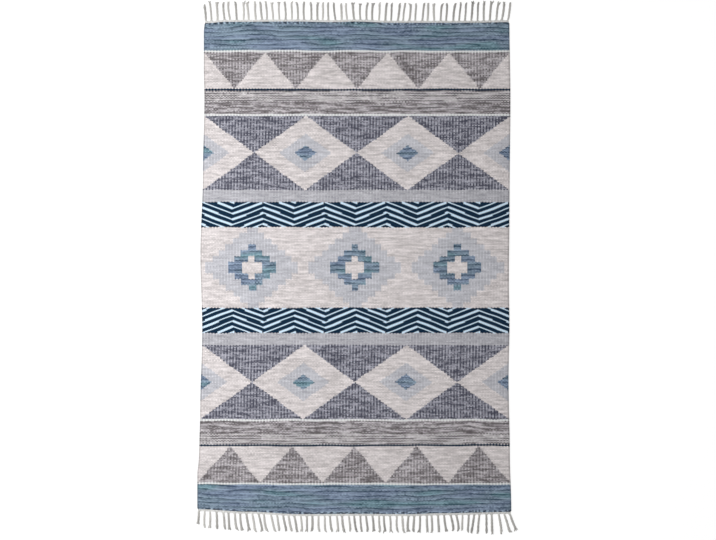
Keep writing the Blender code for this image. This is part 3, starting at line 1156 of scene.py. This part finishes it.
def fine_line(tree, count):
    """A line of points, each with its share of the way along."""
    line = tree.node("GeometryNodeCurvePrimitiveLine")
    fine = tree.node("GeometryNodeResampleCurve", None, {"Curve": line, "Count": count})
    return tree.keep(fine, "share", tree.node("GeometryNodeSplineParameter"))


def copied(tree, things, domain, amount, first_row=0.0):
    """So many copies of each point or curve, each with the number of its row on the map."""
    inputs = {"Geometry": things, "Amount": amount}
    copies = tree.node("GeometryNodeDuplicateElements", {"domain": domain}, inputs)
    return tree.keep(copies, "row", copies["Duplicate Index"] + first_row)


def set_on_points(tree, points, line):
    """A line on each point, which takes over what is kept on the point."""
    placed = tree.node("GeometryNodeInstanceOnPoints", None, {"Points": points, "Instance": line})
    return tree.node("GeometryNodeRealizeInstances", None, {"Geometry": placed})


def thicken(tree, path, position, radius, sides, flatness=1.0):
    """Move a path's points to a position, and give the path a round or flattened skin with ends."""
    moved = tree.node("GeometryNodeSetPosition", None, {"Geometry": path, "Position": position})
    ring = tree.node("GeometryNodeCurvePrimitiveCircle", None, {"Resolution": sides, "Radius": 1.0})
    ring = tree.keep(ring, "around", tree.node("GeometryNodeInputPosition"), "FLOAT_VECTOR")
    ring = tree.node("GeometryNodeTransform", None, {"Geometry": ring, "Scale": (1.0, flatness, 1.0)})
    skin = {"Curve": moved, "Profile Curve": ring, "Scale": radius, "Fill Caps": True}
    return tree.node("GeometryNodeCurveToMesh", None, skin)


# %% Strands
SHAFT_SWELL, TAIL_SWELL = 0.06, 0.16
HELD_BY_CORDS = 0.25
RAGGED, RAGGED_MIDDLE = 0.014, 0.62
RAGGED_BY_ROW, RAGGED_BY_TASSEL = 5.3, 47.0
WANDER, WANDER_WAVES = 0.0011, 5.0
WANDER_BY_ROW, WANDER_BY_TASSEL = 7.3, 31.0
TIP_SPLAY = 1.9
LOOSE_SPLAY, TIED_SPLAY = Step(0.84, 1.0), Step(0.95, 1.0, high=0.4)
SPLAY_LOWERS = 0.55
TIP_THINS, KNOT_THINS = Step(0.95, 1.0, high=0.30), 0.12


def strands(tree, given):
    """The four strands of every tassel."""
    four = copied(tree, given["Geometry"], "POINT", STRANDS)
    path = set_on_points(tree, four, fine_line(tree, given["Strand Points"]))
    row, tied, phase, root = [tree.read(name) for name in ("row", "tied", "phase", "root")]
    ragged = tree.noise(row * RAGGED_BY_ROW, phase * RAGGED_BY_TASSEL) - RAGGED_MIDDLE
    out = tree.read("share") * (tree.read("length") + ragged * RAGGED + DRAWN_IN) - DRAWN_IN
    path = tree.keep(path, "run", out)
    out = tree.read("run")
    x, y, share, across = middle_line(tree, given, out)

    fan = tree.eased(out, -(WEB_GAP + WEB_WIDTH), GATHERED, 1.0, 0.0)
    swell = share * SHAFT_SWELL + tree.eased(share, TAIL_START, TAIL_FULL) * TAIL_SWELL + 1.0
    root_hold = hump(share, ROOT_KNOT, ROOT_KNOT_HALF)
    tail_hold = hump(share, TAIL_KNOT, TAIL_KNOT_HALF) * tied
    splay = between(tree.eased(share, *LOOSE_SPLAY), tree.eased(share, *TIED_SPLAY), tied)
    wander = tree.noise(share * WANDER_WAVES, row * WANDER_BY_ROW, phase * WANDER_BY_TASSEL) - 0.5
    radius = given["Strand Radius"] * tree.read("fullness") * swell * (1.0 - fan * HELD_BY_CORDS)
    reach = radius * math.sqrt(2.0) * (1.0 - fan) * (1.0 - (root_hold + tail_hold) * KNOT_SQUEEZE)
    reach = reach * (1.0 + splay * (TIP_SPLAY - 1.0)) + wander * WANDER
    angle = (row / STRANDS + tree.read("turns") * share + phase) * (2.0 * math.pi)
    lying = reach * (1.0 - splay * SPLAY_LOWERS) * FLATNESS * (sine(angle) + 1.0) + radius
    lying = lying + root_hold * given["Root Knot Lift"] + tail_hold * given["Tail Knot Lift"]
    height = between(CLOTH_THICKNESS / 2, lying, tree.eased(out, -WEB_WIDTH, GATHERED))
    leftmost = larger(root - WARP_REACH, given["First Warp"])
    rightmost = smaller(root + WARP_REACH, given["Last Warp"])
    warp = between(leftmost, rightmost, row / (STRANDS - 1))
    position = beside((x + (warp - root) * fan, y), across, reach * cosine(angle), height)
    taper = 1.0 - tree.eased(share, *TIP_THINS) - (root_hold + tail_hold) * KNOT_THINS
    return thicken(tree, path, position, radius * taper, given["Sides"])


# %% Knots
KNOTS = 2
WRAP_TURNS = 1.7
WRAP_LENGTH = 0.0056
WRAP_TILT = 0.0010
WRAP_RADIUS = 0.00118
ROOT_WRAP_REACH, TAIL_WRAP_REACH = 0.0029, 0.0023
WRAP_YARN = 0.04
WRAP_FOLLOWS_FULLNESS = 0.5
TUCK_ROUND, TUCK_IN, TUCK_THIN = 0.4, 0.3, 0.5


def knots(tree, given):
    """The yarn that goes round the strands at every root, and at every tip that is tied."""
    two = copied(tree, given["Geometry"], "POINT", KNOTS, first_row=STRANDS)
    at_tip = tree.read("row") - STRANDS
    inputs = {"Geometry": two, "Selection": at_tip * (1.0 - tree.read("tied")) > 0.5}
    two = tree.node("GeometryNodeDeleteGeometry", {"domain": "POINT"}, inputs)
    path = set_on_points(tree, two, fine_line(tree, given["Knot Points"]))
    share = tree.read("share")
    path = tree.keep(path, "run", share * WRAP_YARN)

    middle = between(ROOT_KNOT, TAIL_KNOT, at_tip) * tree.read("length")
    angle = (share * WRAP_TURNS + tree.read("phase")) * (2.0 * math.pi)
    out = middle + (share - 0.5) * WRAP_LENGTH + cosine(angle) * WRAP_TILT
    x, y, _, across = middle_line(tree, given, out)
    fullness = between(tree.read("fullness"), tree.read("tail"), at_tip)
    fullness = between(1.0 - WRAP_FOLLOWS_FULLNESS, 1.0, fullness)
    shown = sine(share * math.pi) ** TUCK_ROUND
    reach = between(ROOT_WRAP_REACH, TAIL_WRAP_REACH, at_tip) * fullness * between(1.0 - TUCK_IN, 1.0, shown)
    height = reach * FLATNESS * (sine(angle) + 1.0) + WRAP_RADIUS
    position = beside((x, y), across, reach * cosine(angle), height)
    return thicken(tree, path, position, between(1.0 - TUCK_THIN, 1.0, shown) * WRAP_RADIUS, given["Sides"])


def tassel_tree():
    """Strands and knots on the roots of the tassels."""
    sizes = ["Outward", "Strand Radius", "First Warp", "Last Warp", "Root Knot Lift", "Tail Knot Lift"]
    tree, given = geometry_tree("knotted_tassels", sizes, ["Strand Points", "Knot Points", "Sides"])
    return close_tree(tree, tree.join(strands(tree, given), knots(tree, given)), given["Material"])


# %% [markdown]
# ## A map for thin tubes
#
# Every strand, knot and turn of yarn is a thin closed tube. Its colours need a flat map, and a tube rolls
# out into a small rectangle: one way is round the tube, the other along it. The rectangles stand in the
# cells of a grid. A tube that is very long fills several cells in turn.

# %% Rolling out tubes
CELL_MARGIN = 0.07
CAP_REACH = 0.35
JUST_UNDER = 0.0001
SIDE_CORNERS = 4


def corner_values(mesh, name):
    """A number or vector that is kept on the points, at each corner of each face."""
    attribute = mesh.attributes[name]
    size = 3 if attribute.data_type == "FLOAT_VECTOR" else 1
    values = np.empty(len(attribute.data) * size)
    attribute.data.foreach_get("vector" if size == 3 else "value", values)
    points = np.empty(len(mesh.loops), dtype=int)
    mesh.loops.foreach_get("vertex_index", points)
    return values.reshape(-1, size)[points]


def drop_values(thing):
    """Remove the numbers that no material reads."""
    attributes = thing.data.attributes
    for name in [attribute.name for attribute in attributes if attribute.domain == "POINT"]:
        if name not in ("position", "around", "run", "phase"):
            attributes.remove(attributes[name])


def roll_out(thing, columns, row_edges):
    """Give tubes a map of cells, by the column, row, share and way round that are kept on them."""
    mesh = thing.data
    corners = np.empty(len(mesh.polygons), dtype=int)
    mesh.polygons.foreach_get("loop_total", corners)
    firsts = np.concatenate([[0], np.cumsum(corners)[:-1]])

    def of_face(values):
        return np.repeat(np.add.reduceat(values, firsts) / corners, corners)

    share = corner_values(mesh, "share")[:, 0]
    cell = np.maximum(np.floor(of_face(share) - JUST_UNDER), 0.0)
    along = share - cell
    column = of_face(corner_values(mesh, "column")[:, 0]) + cell
    row = np.rint(of_face(corner_values(mesh, "row")[:, 0])).astype(int)
    around = corner_values(mesh, "around")
    turn = np.arctan2(around[:, 1], around[:, 0]) / (2.0 * np.pi)
    turn -= np.rint(turn - np.repeat(turn[firsts], corners))
    turn -= np.floor(of_face(turn))

    cap = np.repeat(corners > SIDE_CORNERS, corners)
    turn = np.where(cap, 0.5 + CAP_REACH * around[:, 0], turn)
    inward = np.where(along < 0.5, 1.0, -1.0)
    along = np.where(cap, along + CELL_MARGIN * 0.5 * (around[:, 1] + inward), along)
    edges = np.array(row_edges)
    low, high = edges[row], edges[row + 1]
    inset = CELL_MARGIN + (1.0 - 2.0 * CELL_MARGIN) * np.stack([turn, along])
    u = (column + inset[0]) / columns
    v = low + (high - low) * inset[1]
    add_map(mesh, "OFBake", u, v)
    drop_values(thing)
    print(f"{thing.name}: {count_triangles(thing)} triangles, "
          f"map {u.min():.3f} to {u.max():.3f} across, {v.min():.3f} to {v.max():.3f} up")


# %% [markdown]
# ## Undyed cotton
#
# The fringe is the bare end of the warp: undyed cotton yarn of several plies, off-white, and dustier
# towards the tips. The tassels' cotton is greyer than the cords': a painted shade for the thin strands.
# The plies wind round the strand and show as slanted grooves. The groove is found from the way round the
# strand and the distance along it, both kept on the mesh by the tree, so it follows each strand however it
# bends. The grooves darken the colour, a painted shade in them, and feed a bump.

# %% Cotton
PLIES = 3
LAY_LENGTH = 0.0068
# COTTON, for the tassels, is greyer than WHITE_COTTON: a painted shade for the thin strands.
COTTON = spun_from((134, 132, 129), (211, 209, 205))
WHITE_COTTON = spun_from((182, 182, 181), (246, 246, 245))
TIP_DUST = 3.2
CLOUD_WAVES, HAIR_WAVES = 60.0, 1400.0
RIDGE_ROUND, RIDGE_PAINTED_SHADE, RIDGE_HEIGHT_ROUND = 0.6, 0.55, 0.5
CLOUD_TONE, HAIR_TONE, HAIR_HEIGHT = 0.35, 0.3, 0.25
TASSEL_TONE, COTTON_BASE = 0.5, 0.02
COTTON_BUMP, COTTON_BUMP_DEPTH = 0.7, 0.4 * MM
COTTON_SURFACE = {"Roughness": 0.95, "Specular IOR Level": 0.15, "Sheen Weight": 0.15, "Sheen Roughness": 0.6}


def cotton_material(name, cotton, dust):
    """Plied cotton yarn on tubes that keep their way round and their run, darker by the dust per metre."""
    material, tree = make_material(name)
    around, run, phase = [tree.node("ShaderNodeAttribute", {"attribute_name": kept})
                          for kept in ("around", "run", "phase")]
    cos_part, sin_part, _ = tree.parts(around["Vector"])
    run, tassel = run["Fac"], phase["Fac"] - 0.5
    angle = tree.math("ARCTAN2", sin_part, cos_part)
    ridge = cosine((angle - run * (2.0 * math.pi / LAY_LENGTH)) * float(PLIES)) * 0.5 + 0.5
    x, y, z = tree.parts(tree.node("ShaderNodeTexCoord")["Object"])
    cloud = tree.noise(x * CLOUD_WAVES, y * CLOUD_WAVES, detail=1.0)
    hairs = tree.noise(x * HAIR_WAVES, y * HAIR_WAVES, z * HAIR_WAVES, detail=1.0)
    # The ridge term darkens the grooves between the plies: painted shade.
    share = ridge ** RIDGE_ROUND * RIDGE_PAINTED_SHADE + cloud * CLOUD_TONE + hairs * HAIR_TONE
    share = share + tassel * TASSEL_TONE - run * dust + COTTON_BASE
    height = ridge ** RIDGE_HEIGHT_ROUND + hairs * HAIR_HEIGHT
    normal = tree.bump(height, COTTON_BUMP, COTTON_BUMP_DEPTH)
    finish_material(tree, {"Base Color": yarn(tree, share, cotton), "Normal": normal, **COTTON_SURFACE})
    return material


plied_cotton_painted_shade = cotton_material("plied_cotton_painted_shade", COTTON, TIP_DUST)
white_cotton = cotton_material("white_cotton", WHITE_COTTON, 0.0)

# %% Both fringes
STRAND_POINTS = 40
KNOT_POINTS = 24
TUBE_SIDES = 8
ROOT_KNOT_LIFT = 0.00085
TAIL_KNOT_LIFT = 0.00035
FRINGE_ROWS = (0.0, 0.22, 0.44, 0.66, 0.88, 0.94, 1.0)


def make_fringe(fringe, tree, strand_radius):
    """The tassels of one end as one piece."""
    tassels = lay_tassels(fringe)
    end = fringe.outward * WOVEN_LENGTH / 2
    roots = [(tassel.root, tassel.start, 0.0) for tassel in tassels]
    piece = set_out_points(fringe.name + "_tassels", roots, tassels, column=range(len(tassels)))
    grow(piece, tree, {
        "Outward": float(fringe.outward), "Strand Radius": strand_radius,
        "First Warp": left_edge(end) + OUTER_WARP_INSET, "Last Warp": right_edge(end) - OUTER_WARP_INSET,
        "Root Knot Lift": ROOT_KNOT_LIFT, "Tail Knot Lift": TAIL_KNOT_LIFT,
        "Strand Points": STRAND_POINTS, "Knot Points": KNOT_POINTS, "Sides": TUBE_SIDES,
        "Material": plied_cotton_painted_shade,
    })
    roll_out(piece, len(tassels), FRINGE_ROWS)
    return piece


knotted_tassels = tassel_tree()
upper_tassels = make_fringe(UPPER_FRINGE, knotted_tassels, UPPER_STRAND_RADIUS)
lower_tassels = make_fringe(LOWER_FRINGE, knotted_tassels, LOWER_STRAND_RADIUS)

# %% [markdown]
# ## The twined cords
#
# Cotton yarns are twined along each end in two rows, and keep the last picks from sliding off. In a row,
# two yarns cross over each other between the warps, so it is one long cord that follows the uneven end.
# The second row winds the other way. A mesh of points along the end is enough to give the path. The tree
# turns the points into a curve, copies it four times, moves two copies to each row, and winds the two
# round it, half a turn apart. A cord is higher than it is wide, because the warps go through it.

# %% Cord formulas
TWINE_RADIUS = 0.00092
TWINE_REACH = 0.00072
TWINE_RISE = 0.00115
TWINE_LAY = 0.0100
TWINE_STEP = 0.00115
TWINE_SIDES = 6
TWINE_ROWS_APART = 0.0030
TWINE_SPARE = 0.0010
TWINE_YARNS = 4
TWINE_CELLS = 12
TWINE_END_THINS = Step(0.0, 0.003, low=0.55)
EVEN_PHASE = 0.5
PATH_STEP = 0.010


def end_path(fringe):
    """Points in the middle of the narrow web, from the left to the right end of the twining."""
    end = fringe.outward * WOVEN_LENGTH / 2
    left = left_edge(end) + ROOT_INSET - TWINE_SPARE
    right = right_edge(end) - ROOT_INSET + TWINE_SPARE
    count = math.ceil((right - left) / PATH_STEP)
    places = [left + (right - left) * index / count for index in range(count + 1)]
    out = fringe.outward * (WEB_GAP + WEB_WIDTH / 2)
    points = [(x, end_edge(fringe, x) + out, 0.0) for x in places]
    mesh = bpy.data.meshes.new(fringe.name + "_twining")
    mesh.from_pydata(points, [(index, index + 1) for index in range(count)], [])
    return add_object(mesh.name, mesh)


def twining_tree():
    """Two rows along a path, each of two yarns that are wound round it."""
    sizes = ["Yarn Radius", "Reach", "Rise", "Rows Apart", "Lay Length", "Step", "Middle Height"]
    tree, given = geometry_tree("twined_cords", sizes, ["Sides", "Cells"])
    path = tree.node("GeometryNodeMeshToCurve", None, {"Mesh": given["Geometry"]})
    inputs = {"Curve": path, "Length": given["Step"]}
    path = tree.node("GeometryNodeResampleCurve", {"mode": "LENGTH"}, inputs)
    four = copied(tree, path, "SPLINE", TWINE_YARNS)
    parameter = tree.node("GeometryNodeSplineParameter")
    four = tree.keep(four, "share", parameter * given["Cells"])
    four = tree.keep(four, "run", parameter["Length"])
    four = tree.keep(four, "column", 0.0)
    four = tree.keep(four, "phase", EVEN_PHASE)

    row = whole(tree.read("row") / 2.0)
    way = row * 2.0 - 1.0
    turn = (tree.read("run") / given["Lay Length"] * way + tree.read("row") / 2.0) * (2.0 * math.pi)
    along_x, along_y, _ = tree.parts(tree.node("GeometryNodeInputTangent"))
    aside = cosine(turn) * given["Reach"] + way * given["Rows Apart"] / 2.0
    height = sine(turn) * given["Rise"] + given["Middle Height"]
    x, y, _ = tree.parts(tree.node("GeometryNodeInputPosition"))
    position = tree.vector(x - along_y * aside, y + along_x * aside, height)
    share = tree.read("share") / given["Cells"]
    taper = smaller(tree.eased(share, *TWINE_END_THINS), tree.eased(1.0 - share, *TWINE_END_THINS))
    skin = thicken(tree, four, position, given["Yarn Radius"] * taper, given["Sides"])
    return close_tree(tree, skin, given["Material"])


def even_rows(count):
    """The edges of so many rows of cells of one height."""
    return [row / count for row in range(count + 1)]


def make_twining(fringe, tree):
    """The twined cords of one end."""
    piece = end_path(fringe)
    grow(piece, tree, {
        "Yarn Radius": TWINE_RADIUS, "Reach": TWINE_REACH, "Rise": TWINE_RISE, "Rows Apart": TWINE_ROWS_APART,
        "Lay Length": TWINE_LAY, "Step": TWINE_STEP, "Middle Height": CLOTH_THICKNESS / 2,
        "Sides": TWINE_SIDES, "Cells": TWINE_CELLS, "Material": white_cotton,
    })
    roll_out(piece, TWINE_CELLS, even_rows(TWINE_YARNS))
    return piece


twined_cords = twining_tree()
upper_twining = make_twining(UPPER_FRINGE, twined_cords)
lower_twining = make_twining(LOWER_FRINGE, twined_cords)

# %% [markdown]
# ## The turns at the selvedges
#
# At a selvedge each weft goes round the outermost warp and back into the cloth. These turns sit one above
# the other and give the edge its beaded look. Each turn is a short C of yarn: a straight piece on top, a
# half circle round the warp, and a straight piece underneath, one pick further on. It wears the cloth's
# own material. Its map coordinates name the float that it belongs to, so it has that float's colour.

# %% Where the turns go
TURN_HALF_WIDTH = 0.00182
TURN_FLATNESS = 0.57
TURN_REACH = 0.00146
TURN_STRAIGHT = 0.0030
TURN_PROUD = 0.0005
TURN_POINTS = 10
TURN_SIDES = 6
TURN_COLUMNS = 29
TURN_CLEAR_OF_END = 5.0
TURN_SINK, SINK_START = 0.0013, 0.4
TURN_SLIDES = Step(0.2, 0.8)
TURN_SHOWN = 0.9
WITHIN_A_WARP = (0.03, 0.97)
Turn = namedtuple("Turn", "start_x start_y start_z side place")


def turn_places(odd):
    """How far along the warps the turns of one selvedge are, in millimetres from the rug's middle."""
    most = LENGTH_MM / 2 - TURN_CLEAR_OF_END
    count = int(most / (2.0 * PICK_PITCH_MM))
    return [PICK_PITCH_MM * (2 * index + 1 - odd) for index in range(-count, count)]


def lay_turns():
    """The turns of both selvedges."""
    turns = []
    for side, odd in ((-1.0, 0), (1.0, 1)):
        for place in turn_places(odd):
            plain_y = place * MM
            x = left_edge(plain_y) if side < 0 else right_edge(plain_y)
            y = woven_y(x, plain_y)
            turns.append(Turn(x, y, float(lift(x, y)) + CLOTH_THICKNESS / 2, side, place))
    return turns


# %% Turns by Geometry Nodes
def turn_tree():
    """A C of yarn round the selvedge at every point."""
    sizes = ["Half Width", "Reach", "Straight", "Proud", "Sink", "Pitch"]
    tree, given = geometry_tree("weft_turns", sizes, ["Points", "Sides"])
    path = set_on_points(tree, given["Geometry"], fine_line(tree, given["Points"]))
    share, side = tree.read("share"), tree.read("side")
    reach, straight = given["Reach"], given["Straight"]
    way = share * (straight * 2.0 + reach * math.pi)
    angle = held_between((way - straight) / reach, 0.0, math.pi)
    before = larger(straight - way, 0.0)
    after = larger(way - straight - reach * math.pi, 0.0)
    edge = reach + given["Half Width"] * TURN_FLATNESS - given["Proud"]
    outward = reach * sine(angle) - before - after - edge
    sunk = tree.eased(before + after, straight * SINK_START, straight)
    height = cosine(angle) * (reach - given["Sink"] * sunk)
    slide = (tree.eased(share, *TURN_SLIDES) - 0.5) * given["Pitch"]
    path = tree.keep(path, "inset", -outward)
    x = tree.read("start_x") - side * tree.read("inset")
    y = tree.read("start_y") + slide
    position = tree.vector(x, y, tree.read("start_z") + height)
    inputs = {"Curve": path, "Normal": (0.0, 1.0, 0.0)}
    path = tree.node("GeometryNodeSetCurveNormal", {"mode": "FREE"}, inputs)
    skin = thicken(tree, path, position, given["Half Width"], given["Sides"], TURN_FLATNESS)
    return close_tree(tree, skin, given["Material"])


def weave_coordinates(thing):
    """The cloth's weave coordinates on the turns: each turn is one float of its outermost warp."""
    mesh = thing.data
    side = corner_values(mesh, "side")[:, 0]
    inset = np.clip(corner_values(mesh, "inset")[:, 0] / MM / WARP_PITCH_MM, *WITHIN_A_WARP)
    warp = np.where(side < 0, inset, WARPS - inset)
    place = corner_values(mesh, "place")[:, 0]
    across_yarn = corner_values(mesh, "around")[:, 0]
    add_map(mesh, "weave", warp, place + across_yarn * PICK_PITCH_MM * TURN_SHOWN)


def make_selvedges():
    """The turns of both selvedges as one piece."""
    turns = lay_turns()
    rows, columns = zip(*[divmod(index, TURN_COLUMNS) for index in range(len(turns))])
    places = [turn[:3] for turn in turns]
    piece = set_out_points("selvedge_turns", places, turns, column=columns, row=rows)
    grow(piece, turn_tree(), {
        "Half Width": TURN_HALF_WIDTH, "Reach": TURN_REACH, "Straight": TURN_STRAIGHT, "Proud": TURN_PROUD,
        "Sink": TURN_SINK, "Pitch": PICK_PITCH_MM * MM, "Points": TURN_POINTS, "Sides": TURN_SIDES,
        "Material": woven_wool,
    })
    # With the cloth's coordinates the turns also take the painted shade of the selvedge.
    weave_coordinates(piece)
    roll_out(piece, TURN_COLUMNS, even_rows(TURN_COLUMNS))
    return piece


selvedge = make_selvedges()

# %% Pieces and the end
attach(cloth, "root")
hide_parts("kilim_cloth")
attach(selvedge, "root")
end_pieces = {
    "fringe_upper_end": [upper_tassels, upper_twining],
    "fringe_lower_end": [lower_tassels, lower_twining],
}
for node, pieces in end_pieces.items():
    for piece in pieces:
        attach(piece, "root")
        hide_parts(node)
